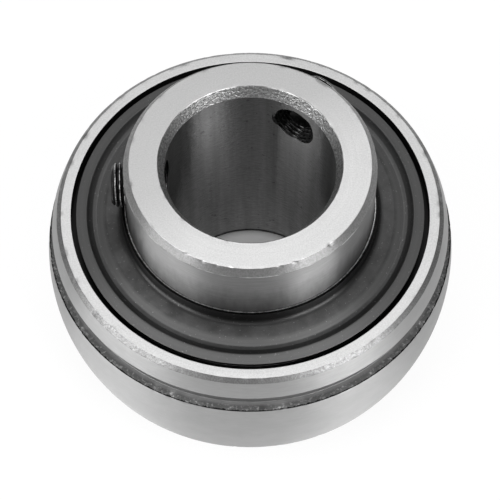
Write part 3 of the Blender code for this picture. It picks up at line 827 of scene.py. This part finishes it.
def threaded_mesh(name, start, end, root, crest, trim, shift=0.0, cup=0.0):
    """A closed threaded rod along local Z; trim(z, r) gives the radius that the blank leaves.

    The start can be hollowed to a cup. The wear attribute is 1 on the crests and 0 at the roots.
    """
    rows = int((end - start) / PITCH * ROWS_PER_PITCH) + 1
    verts, faces, wear = [], [], []
    for row in range(rows):
        z = start + (end - start) * row / (rows - 1)
        for column in range(COLUMNS):
            angle = 2 * math.pi * column / COLUMNS
            height = thread_shape(((z + shift) / PITCH - column / COLUMNS) % 1.0)
            radius = trim(z, root + (crest - root) * height)
            verts.append((radius * math.cos(angle) * MM, radius * math.sin(angle) * MM, z * MM))
            wear.append(height if radius > root + 0.01 else 0.0)
    bottom, top = len(verts), len(verts) + 1
    last_row = (rows - 1) * COLUMNS
    for column in range(COLUMNS):
        after = (column + 1) % COLUMNS
        faces += [(row + column, row + after, row + COLUMNS + after, row + COLUMNS + column)
                  for row in range(0, last_row, COLUMNS)]
        faces += [(bottom, after, column), (top, last_row + column, last_row + after)]
    verts += [(0.0, 0.0, (start + cup) * MM), (0.0, 0.0, end * MM)]
    wear += [0.0, 0.0]
    mesh = bpy.data.meshes.new(name)
    mesh.from_pydata(verts, [], faces)
    mesh.attributes.new("wear", "FLOAT", "POINT").data.foreach_set("value", wear)
    return mesh


# %% [markdown]
# ### Black oxide and the tapped wall
# Set screws are blackened in a salt bath. The black is thin, so the crests of the thread and the
# rim of the cup rub through to grey steel. The thread's own rule stores how near each point is
# to a crest, and the finish lets steel show there. The wall of the tapped hole is painted dark as
# painted shade, with a dry, torn surface.


# %% Black oxide and threaded wall
def black_oxide():
    """Oily black with steel showing on the crests."""
    finish = Finish("black_oxide_steel", "#262626", 0.34)
    crest = feed(finish.tree, "ShaderNodeAttribute", output="Fac", attribute_name="wear")
    rubbed = finish.grain(4.0, 3.0, 0.35, 0.6)
    finish.blend(rubbed, "#1c1c1c", "#2e2e2e")
    bare = reckon(finish.tree, "MULTIPLY", ramp(finish.tree, crest, 0.72, 1.0), rubbed)
    finish.tint(bare, "#c0c0c0")
    return finish.done(rubbed, 0.002, 0.30, 0.42)


BLACK_OXIDE = black_oxide()
# Painted shade: the wall of the tapped hole is dark.
TAPPED_WALL = two_tone("tapped_hole_wall", "#383838", 0.42, grain=(3.5, 4.0),
                       tones=("#262626", "#6c6c6c"), bump=(0.008, 0.26, 0.44))


# %% [markdown]
# ### Tapping the ring
# The screw can slide out of and into its hole when the bearing is posed, so the hole's crests
# stay just clear of the screw's. A countersink opens the outer end. The tap runs past both walls
# of the collar and is then taken out of the ring.

# %% Tapped holes
TAP_START, TAP_END = 7.6, 15.2
TAP_ROOT_R, TAP_CREST_R = 2.58, 2.86
COUNTERSINK = 0.3


def tap_trim(z, radius):
    """The tap with the countersink of the hole's mouth."""
    return max(radius, TAP_ROOT_R + z - (SHOULDER_R - COUNTERSINK))


taps = []
for number, azimuth in enumerate(SCREW_AZIMUTHS, 1):
    mesh = threaded_mesh(
        f"tap_{number}", TAP_START, TAP_END, TAP_ROOT_R, TAP_CREST_R, tap_trim, shift=PITCH / 2)
    mesh.materials.append(TAPPED_WALL)
    mesh.transform(radial_place(azimuth, SCREW_Z))
    tidy(mesh)
    taps.append(add_piece(f"tap_{number}", mesh))
cut_all(inner_ring, taps)
print("inner ring, tapped", len(inner_ring.data.polygons), "faces")

# %% [markdown]
# ### Set screws
# Each screw is threaded, trimmed by its chamfers and cup point, and given its hexagon socket with
# a boolean, as the real socket is broached. The left one stands out of the collar by more than a
# millimetre, which shows in the photo as upright thread lines.

# %% Set screws
SCREW_START, SCREW_LENGTH = 10.465, 5.0     # tip of the point from the bearing's axis
SCREW_R, SCREW_ROOT_R, END_CHAMFER = 2.5, 2.21, 0.45
CUP_RIM_R, CUP_DEPTH = 1.3, 0.6
SOCKET_FLATS, SOCKET_DEPTH, SOCKET_CUT = 2.5, 2.2, 3.2
SCREW_END = SCREW_START + SCREW_LENGTH


def screw_trim(z, radius):
    """Point, cup rim and end chamfer of the blank."""
    along = z - SCREW_START
    return min(radius, CUP_RIM_R + along, SCREW_R - max(0.0, along - (SCREW_LENGTH - END_CHAMFER)))


set_screws = []
for number, azimuth in enumerate(SCREW_AZIMUTHS, 1):
    mesh = threaded_mesh(f"set_screw_{number}_fine", SCREW_START, SCREW_END, SCREW_ROOT_R, SCREW_R,
                         screw_trim, cup=CUP_DEPTH)
    mesh.materials.append(BLACK_OXIDE)
    socket = drill_mesh("socket", SOCKET_FLATS / math.sqrt(3.0), SOCKET_CUT, 6, BLACK_OXIDE)
    socket.transform(Matrix.Translation((0.0, 0.0, (SCREW_END - SOCKET_DEPTH) * MM)))
    for part in (mesh, socket):
        part.transform(radial_place(azimuth, SCREW_Z))
    tidy(mesh)
    screw = add_piece(f"set_screw_{number}_fine", mesh)
    cut_all(screw, [add_piece("socket", socket)])
    set_screws.append(screw)
print("set screws", [len(screw.data.polygons) for screw in set_screws], "faces")

# %% [markdown]
# ## Flingers
# A flinger is a thin disc pressed to a dished shape and pushed on the inner ring, which throws
# dirt off before it reaches the seal. It is drawn as the line of its outer skin. The sheet's
# thickness is set off behind that line, and the corners are then eased, larger ones first,
# because pressed sheet never has a sharp bend.


# %% Sheet outlines
def offset_line(points, distance):
    """A polyline moved sideways by a distance, with mitred corners."""
    moved = []
    for index, point in enumerate(points):
        here = Vector(point)
        into = here - Vector(points[index - 1]) if index > 0 else None
        out = Vector(points[index + 1]) - here if index < len(points) - 1 else None
        normals = [Vector((line.y, -line.x)).normalized() for line in (into, out) if line is not None]
        middle = sum(normals, Vector((0.0, 0.0))).normalized()
        moved.append(here + middle * distance / middle.dot(normals[0]))
    return moved


def sheet_outline(points, thickness, side, skin, cut, lip):
    """A closed outline of pressed sheet from its outer skin, drawn from the rim inwards.

    Its ends have the finish of the cut, but the last third of the inner end is the rubbed lip.
    """
    inner = offset_line(points, -thickness)
    rubbed = Vector(points[-1]).lerp(inner[-1], 2 / 3)
    outline = [(r, z * side, skin) for r, z in points[:-1]]
    outline += [(points[-1][0], points[-1][1] * side, cut), (rubbed.x, rubbed.y * side, lip)]
    outline += [(point.x, point.y * side, skin) for point in reversed(inner[1:])]
    return outline + [(inner[0].x, inner[0].y * side, cut)]


# %% [markdown]
# ### Phosphated sheet
# The flingers are deep-drawn steel, phosphated to a dark satin grey. Drawing leaves faint rings.
# The rim and the crown are painted a little lighter as painted highlights, and the valley and the
# hub darker as painted shade. The cut edges are torn steel where the blanking tool cut the sheet,
# painted black as painted shade, except for the inner lip of the hub, which was rubbed bare when
# the flinger was pressed on.


# %% Phosphate and cut edge
def phosphated_sheet():
    """Dark satin skin with drawing rings, pale dust, painted highlights and painted shade."""
    finish = Finish("phosphated_drawn_steel", "#646464", 0.34)
    tree, radius = finish.tree, finish.radius
    patch = finish.grain(0.5, 6.0)
    finish.blend(patch, "#464646", "#606060")
    # Painted highlights lighten the rim and the crown, and painted shade darkens the valley and the hub.
    finish.tint(ramp(tree, radius, 18.3, 18.9), "#626262")
    valley, crown, hub = (18.0, 18.45, 0.45), (16.9, 17.3, 0.4), (14.0, 14.9, 0.4)
    for (inner, outer, blur), color in ((valley, "#4a4a4a"), (crown, "#646464"), (hub, "#383838")):
        rise = ramp(tree, radius, inner - blur, inner)
        fall = ramp(tree, radius, outer + blur, outer)
        finish.tint(reckon(tree, "MULTIPLY", rise, fall), color)
    finish.tint(finish.turning_marks(2.6), "#484848", 0.3)
    finish.tint(finish.grain(4.2, 2.0, 0.67, 0.75), "#a8a8a8", 0.5)
    return finish.done(patch, 0.001, 0.34, 0.40, 0.8)


PHOSPHATED = phosphated_sheet()
# The second edge finish is painted shade: nearly black cut edges.
BARE_EDGE, PAINTED_SHADE_EDGE = [
    two_tone(name, dark, 0.36, grain=(4.0, 3.0), tones=(dark, light), bump=(0.004, 0.30, 0.46))
    for name, dark, light in (("sheared_bare_edge", "#8c8c8c", "#e0e0e0"),
                              ("sheared_painted_shade_edge", "#121212", "#222222"))]

# %% Flingers
LEVELS = (("upper", 1), ("lower", -1))
FLINGER_SHEET = 0.45
RIM_Z, VALLEY_Z, FLAT_Z, HUB_Z = 8.58, 8.17, 8.45, HALF_WIDTH + 1.45
HUB_R = SHOULDER_R + 0.05 + FLINGER_SHEET
HUB_BEND = 0.5
flinger_line = [(19.85, RIM_Z - 0.18), (18.65, RIM_Z), (18.32, RIM_Z - 0.22),
                (17.95, VALLEY_Z + 0.04), (17.5, VALLEY_Z), (16.55, FLAT_Z - 0.05), (16.3, FLAT_Z)]
hub_arc = arc(HUB_R + HUB_BEND, FLAT_Z + HUB_BEND, HUB_BEND, 270.0, 180.0, 6, 0)
flinger_line += [(r, z) for r, z, _ in hub_arc] + [(HUB_R, HUB_Z)]
flingers = {}
for level, side in LEVELS:
    outline = sheet_outline(flinger_line, FLINGER_SHEET, side, 0, 1, 2)
    flingers[level] = turn_piece(
        f"flinger_{level}_fine", eased(outline, 0.3, 4, square_radius=0.05), 288,
        PHOSPHATED, PAINTED_SHADE_EDGE, BARE_EDGE)
print("flinger", len(flingers["lower"].data.polygons), "faces")

# %% [markdown]
# ## Seals
# Behind each flinger a steel shield is snapped into the outer ring, and a nitrile rubber ring with
# two lips is bonded to it. They are hidden in the photo, but show when a flinger is off. Both are
# turned from their outlines. The shield is cold rolled strip with pressing rings, and its rim is
# painted nearly black as painted shade. The rubber is matt, with a faint grey bloom.


# %% Shield steel and rubber
def pressed_shield():
    """Cold rolled strip with pressing rings, and painted shade at its rim."""
    finish = Finish("pressed_shield_steel", "#9c9c9c", 0.36)
    rings = finish.turning_marks(3.0)
    finish.blend(rings, "#929292", "#a6a6a6")
    finish.tint(finish.grain(0.6), "#7c7c7c", 0.3)
    # Painted shade: the shield's rim is nearly black.
    finish.tint(ramp(finish.tree, finish.radius, 18.9, 19.5), "#202020")
    return finish.done(rings, 0.001, 0.32, 0.42)


PRESSED_SHIELD = pressed_shield()
NITRILE = two_tone("nitrile_rubber", "#1c1c1c", 0.62, grain=(1.2, 4.0), tones=("#161616", "#282828"),
                   bump=(0.004, 0.56, 0.72), metallic=0.0)

# %% Shields and lips
SEAL_MIDDLE = (SEAL_TOP + SEAL_BOTTOM) / 2
SHIELD_SHEET = 0.4
RIM_R, SHIELD_TOP, SHIELD_STEP = SEAL_GROOVE_R - 0.3, SEAL_MIDDLE + SHIELD_SHEET / 2, 0.3
TIP_R, LIP_MIDDLE, LIP_HALF, LIP_FLAT = SHOULDER_R + 0.3, SEAL_MIDDLE + 0.3, 0.575, 0.375
BACK_R = TIP_R + 1.5
shield_line = [(RIM_R, SHIELD_TOP), (RIM_R - 1.4, SHIELD_TOP), (RIM_R - 1.85, SHIELD_TOP + SHIELD_STEP),
               (BACK_R + 0.25, SHIELD_TOP + SHIELD_STEP)]
lip_line = [(BACK_R, LIP_HALF), (BACK_R, -LIP_HALF), (TIP_R, -LIP_HALF), (TIP_R, -LIP_FLAT),
            (TIP_R + 0.65, 0.0), (TIP_R, LIP_FLAT), (TIP_R, LIP_HALF)]
shields, lips = {}, {}
for level, side in LEVELS:
    outline = sheet_outline(shield_line, SHIELD_SHEET, side, 0, 0, 0)
    shields[level] = turn_piece(f"seal_shield_{level}_fine", eased(outline, 0.12), 192, PRESSED_SHIELD)
    outline = [(r, (LIP_MIDDLE + z) * side, 0) for r, z in lip_line]
    lips[level] = turn_piece(f"seal_lip_{level}_fine", eased(outline, 0.08), 192, NITRILE)
print("seals", len(shields) + len(lips))

# %% [markdown]
# ## Geometry Nodes that set pieces in a ring
# Eight rivets and eight waves of the cage repeat at equal steps round the axis. One small tree
# does it for both: it takes a piece, a count, a radius and a first azimuth, sets the copies on a
# circle and makes them real. Its sizes are named inputs, so that a larger bearing needs new
# numbers only.


# %% Ring of copies
def open_tree(name, *labels):
    """A Geometry Nodes tree with named number inputs, and its input node."""
    tree = bpy.data.node_groups.new(name, "GeometryNodeTree")
    tree.interface.new_socket("Geometry", in_out="INPUT", socket_type="NodeSocketGeometry")
    for label in labels:
        kind = "NodeSocketInt" if label == "Count" else "NodeSocketFloat"
        tree.interface.new_socket(label, in_out="INPUT", socket_type=kind)
    tree.interface.new_socket("Geometry", in_out="OUTPUT", socket_type="NodeSocketGeometry")
    return tree, tree.nodes.new("NodeGroupInput")


def close_tree(tree, shape, material):
    """Make the shape real, give it its material and send it out."""
    real = feed(tree, "GeometryNodeRealizeInstances", {0: shape})
    dressed = feed(tree, "GeometryNodeSetMaterial", {"Geometry": real, "Material": material})
    add_node(tree, "NodeGroupOutput", {"Geometry": dressed})
    return tree


def ring_tree(name, material, shaper=None):
    """Copies of the object's own mesh, set round the axis at equal steps, and then shaped."""
    tree, entry = open_tree(name, "Count", "Pitch Radius", "First Azimuth", "Weld Distance")
    count = entry.outputs["Count"]
    steps = feed(tree, "GeometryNodePoints", {"Count": count})
    index = feed(tree, "GeometryNodeInputIndex")
    turns = reckon(tree, "MULTIPLY", reckon(tree, "DIVIDE", index, count), 2 * math.pi)
    azimuth = reckon(tree, "ADD", turns, reckon(tree, "RADIANS", entry.outputs["First Azimuth"]))
    rotation = feed(tree, "ShaderNodeCombineXYZ", {"Z": azimuth})
    arm = feed(tree, "ShaderNodeCombineXYZ", {"X": entry.outputs["Pitch Radius"]})
    place = feed(tree, "ShaderNodeVectorRotate", {"Vector": arm, "Rotation": rotation},
                 rotation_type="EULER_XYZ")
    seated = feed(tree, "GeometryNodeSetPosition", {"Geometry": steps, "Position": place})
    shape = feed(tree, "GeometryNodeInstanceOnPoints", {
        "Points": seated, "Instance": entry.outputs["Geometry"], "Rotation": rotation})
    if shaper:
        shape = shaper(tree, entry, shape)
    return close_tree(tree, shape, material)


def run_tree(piece, tree, values):
    """Run the tree with its inputs set by their identifiers, and keep the plain result."""
    modifier = piece.modifiers.new(tree.name, "NODES")
    modifier.node_group = tree
    identifiers = {item.name: item.identifier for item in tree.interface.items_tree
                   if item.item_type == "SOCKET" and item.in_out == "INPUT"}
    for label, value in values.items():
        modifier[identifiers[label]] = value
    bake_modifiers(piece)


# %% [markdown]
# ## Cage
# The cage is two wavy ribbons of low carbon strip, stamped, barrelled to a soft grey and riveted
# between the balls. One wave is drawn as a line: over the ball at a fixed distance, down in a
# small bend, and flat to the middle of the bridge. The tree sets eight waves round the ring, welds
# them to one path and sweeps the strip's section along it.

# %% Wave of the cage
CAGE_STEEL = two_tone("stamped_cage_steel", "#a8a6a2", 0.38, grain=(2.6, 4.0),
                      tones=("#989692", "#b4b2ae"), bump=(0.003, 0.32, 0.46))
BALL_R, PITCH_R, BALL_COUNT, FIRST_BALL = 3.969, 16.751, 8, 22.5
CAGE_SHEET, CAGE_PLAY, CAGE_BEND, CAGE_SPLIT = 0.7, 0.35, 0.3, 0.15
CAGE_WIDTH, CAGE_MIDDLE = 2.998, 16.701
BEND_STEPS, WAVE_STEPS = 5, 13


def wave_line(side):
    """Middle line of the strip from bridge to bridge over one ball, as points in metres."""
    reach = BALL_R + CAGE_PLAY + CAGE_SHEET / 2
    flat_z = CAGE_SPLIT + CAGE_SHEET / 2
    bend = CAGE_BEND + CAGE_SHEET / 2
    start_z = flat_z + bend
    lift = math.asin(start_z / reach)
    center_x = reach * math.cos(lift) + bend
    half_step = PITCH_R * math.sin(math.pi / BALL_COUNT)
    line = [(half_step, flat_z), ((half_step + center_x) / 2, flat_z)]
    for step in range(BEND_STEPS + 1):
        angle = math.radians(270.0 - 90.0 * step / BEND_STEPS)
        line.append((center_x + bend * math.cos(angle), start_z + bend * math.sin(angle)))
    for step in range(1, WAVE_STEPS + 1):
        angle = lift + (math.pi / 2 - lift) * step / WAVE_STEPS
        line.append((reach * math.cos(angle), reach * math.sin(angle)))
    line += [(-x, z) for x, z in reversed(line[:-1])]
    points = []
    for x, z in line:
        azimuth = math.asin(x / PITCH_R)
        points.append((CAGE_MIDDLE * math.cos(azimuth) * MM, CAGE_MIDDLE * math.sin(azimuth) * MM,
                       (BALL_PLANE + z * side) * MM))
    return points


def sweep_strip(tree, entry, waves):
    """Weld the waves to one path and sweep the strip along it."""
    real = feed(tree, "GeometryNodeRealizeInstances", {0: waves})
    path = feed(tree, "GeometryNodeMergeByDistance", {
        "Geometry": real, "Distance": entry.outputs["Weld Distance"]})
    curve = feed(tree, "GeometryNodeMeshToCurve", {0: path})
    level = feed(tree, "GeometryNodeSetCurveNormal", {0: curve}, mode="Z_UP")
    section = feed(tree, "GeometryNodeCurvePrimitiveQuadrilateral", {
        "Width": CAGE_WIDTH * MM, "Height": CAGE_SHEET * MM})
    return feed(tree, "GeometryNodeCurveToMesh", {"Curve": level, "Profile Curve": section})


cages = {}
CAGE_RING = ring_tree("cage_of_waves", CAGE_STEEL, sweep_strip)
for level, side in LEVELS:
    points = wave_line(side)
    wave = bpy.data.meshes.new(f"cage_{level}_fine")
    wave.from_pydata(points, [(n, n + 1) for n in range(len(points) - 1)], [])
    cages[level] = add_piece(f"cage_{level}_fine", wave)
    run_tree(cages[level], CAGE_RING, {
        "Count": BALL_COUNT, "First Azimuth": FIRST_BALL, "Weld Distance": 0.02 * MM})
    print("cage", level, len(cages[level].data.polygons), "faces")

# %% [markdown]
# ## Rivets
# Each bridge of the cage holds a rivet with a domed head on both sides, of cold headed wire with
# the dimples of the heading tool. One rivet is turned on its own axis, and the ring tree sets
# eight of them midway between the balls. It sets the punches for their holes in the same way.

# %% Rivets
RIVET_STEEL = two_tone("headed_rivet_steel", "#9e9e9c", 0.36, grain=(3.4, 3.0),
                       tones=("#8c8c8a", "#acacaa"), bump=(0.003, 0.30, 0.44))
SHANK_R, HEAD_R, HEAD_Z, HEAD_HEIGHT = 0.7, 1.1, 1.05, 0.55
PUNCH_R, PUNCH_Z = 0.9, 1.8
MIDWAY = {"Count": BALL_COUNT, "Pitch Radius": PITCH_R * MM,
          "First Azimuth": FIRST_BALL + 180.0 / BALL_COUNT}
half_rivet = [(HEAD_R * math.cos(math.radians(a)), HEAD_Z + HEAD_HEIGHT * math.sin(math.radians(a)), 0)
              for a in range(90, -15, -15)] + [(SHANK_R, HEAD_Z, 0)]
rivet_outline = half_rivet + [(r, -z, 0) for r, z, _ in reversed(half_rivet)]
rivets = turn_piece("rivets_fine", rivet_outline, 32, RIVET_STEEL, closed=False)
run_tree(rivets, ring_tree("ring_of_rivets", RIVET_STEEL), MIDWAY)
punch_outline = [(0.0, PUNCH_Z, 0), (PUNCH_R, PUNCH_Z, 0), (PUNCH_R, -PUNCH_Z, 0), (0.0, -PUNCH_Z, 0)]
for level in cages:
    punches = turn_piece("rivet_holes", punch_outline, 32, CAGE_STEEL, closed=False)
    run_tree(punches, ring_tree("ring_of_rivet_holes", CAGE_STEEL), MIDWAY)
    cut_all(cages[level], [punches])
print("rivets", len(rivets.data.polygons), "faces")

# %% [markdown]
# ## Balls
# Eight balls of chrome steel, lapped round to a fraction of a micron, so each is a mirror with the
# faintest random lapping lines. Each turns on its own in the cage, so each is a mesh of its own. A
# tree makes a ball of a given diameter at a given azimuth.

# %% Lapped balls
LAPPED_BALL = two_tone("lapped_chrome_steel_ball", "#d8d8d8", 0.06, grain=(6.0, 2.0),
                       tones=("#d2d2d2", "#dedede"), bump=(0.0001, 0.04, 0.09))


def ball_tree(material):
    """One ball in its place on the pitch circle."""
    tree, entry = open_tree("ball_in_place", "Diameter", "Pitch Radius", "Azimuth", "Height")
    ball = feed(tree, "GeometryNodeMeshUVSphere", {
        "Segments": 56, "Rings": 28, "Radius": reckon(tree, "MULTIPLY", entry.outputs["Diameter"], 0.5)})
    azimuth = reckon(tree, "RADIANS", entry.outputs["Azimuth"])
    unit = feed(tree, "ShaderNodeCombineXYZ", {
        "X": reckon(tree, "COSINE", azimuth), "Y": reckon(tree, "SINE", azimuth)})
    out = feed(tree, "ShaderNodeVectorMath", {
        0: unit, "Scale": entry.outputs["Pitch Radius"]}, operation="SCALE")
    lift = feed(tree, "ShaderNodeCombineXYZ", {"Z": entry.outputs["Height"]})
    center = feed(tree, "ShaderNodeVectorMath", {0: out, 1: lift})
    moved = feed(tree, "GeometryNodeTransform", {"Geometry": ball, "Translation": center})
    return close_tree(tree, moved, material)


BALL_IN_PLACE = ball_tree(LAPPED_BALL)
balls = []
for number in range(BALL_COUNT):
    name = f"ball_{number + 1}_fine"
    balls.append(add_piece(name, bpy.data.meshes.new(name)))
    run_tree(balls[number], BALL_IN_PLACE, {
        "Diameter": 2 * BALL_R * MM, "Pitch Radius": PITCH_R * MM, "Height": BALL_PLANE * MM,
        "Azimuth": FIRST_BALL + number * 360.0 / BALL_COUNT})
print("balls", len(balls), "of", len(balls[0].data.polygons), "faces")

# %% [markdown]
# ## What rides on what
# Each finished piece rides on the body that carries it, and stands for the plain solid in the
# same place.


# %% Riding
def dress(piece, body, slot, *nodes):
    """The piece rides on its body, in place of these solids; its slot is not used."""
    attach(piece, body)
    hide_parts(*nodes)


dress(outer_ring, "outer", "outer_ring_steel", "outer_ring")
dress(inner_ring, "inner", "inner_ring_steel", "inner_ring")
for level, _ in LEVELS:
    dress(flingers[level], "inner", "flinger_sheet", f"flinger_{level}")
    dress(shields[level], "outer", "shield_sheet", f"seal_shield_{level}")
    dress(lips[level], "outer", "seal_rubber", f"seal_lip_{level}")
    dress(cages[level], "cage", "cage_sheet", f"cage_{level}")
dress(rivets, "cage", "rivet_steel", *[f"rivet_{number}" for number in range(1, BALL_COUNT + 1)])
for number, ball in enumerate(balls, 1):
    dress(ball, f"ball_{number}", "ball_steel", f"ball_{number}")
for number, screw in enumerate(set_screws, 1):
    dress(screw, f"screw_{number}", "screw_steel", f"set_screw_{number}")
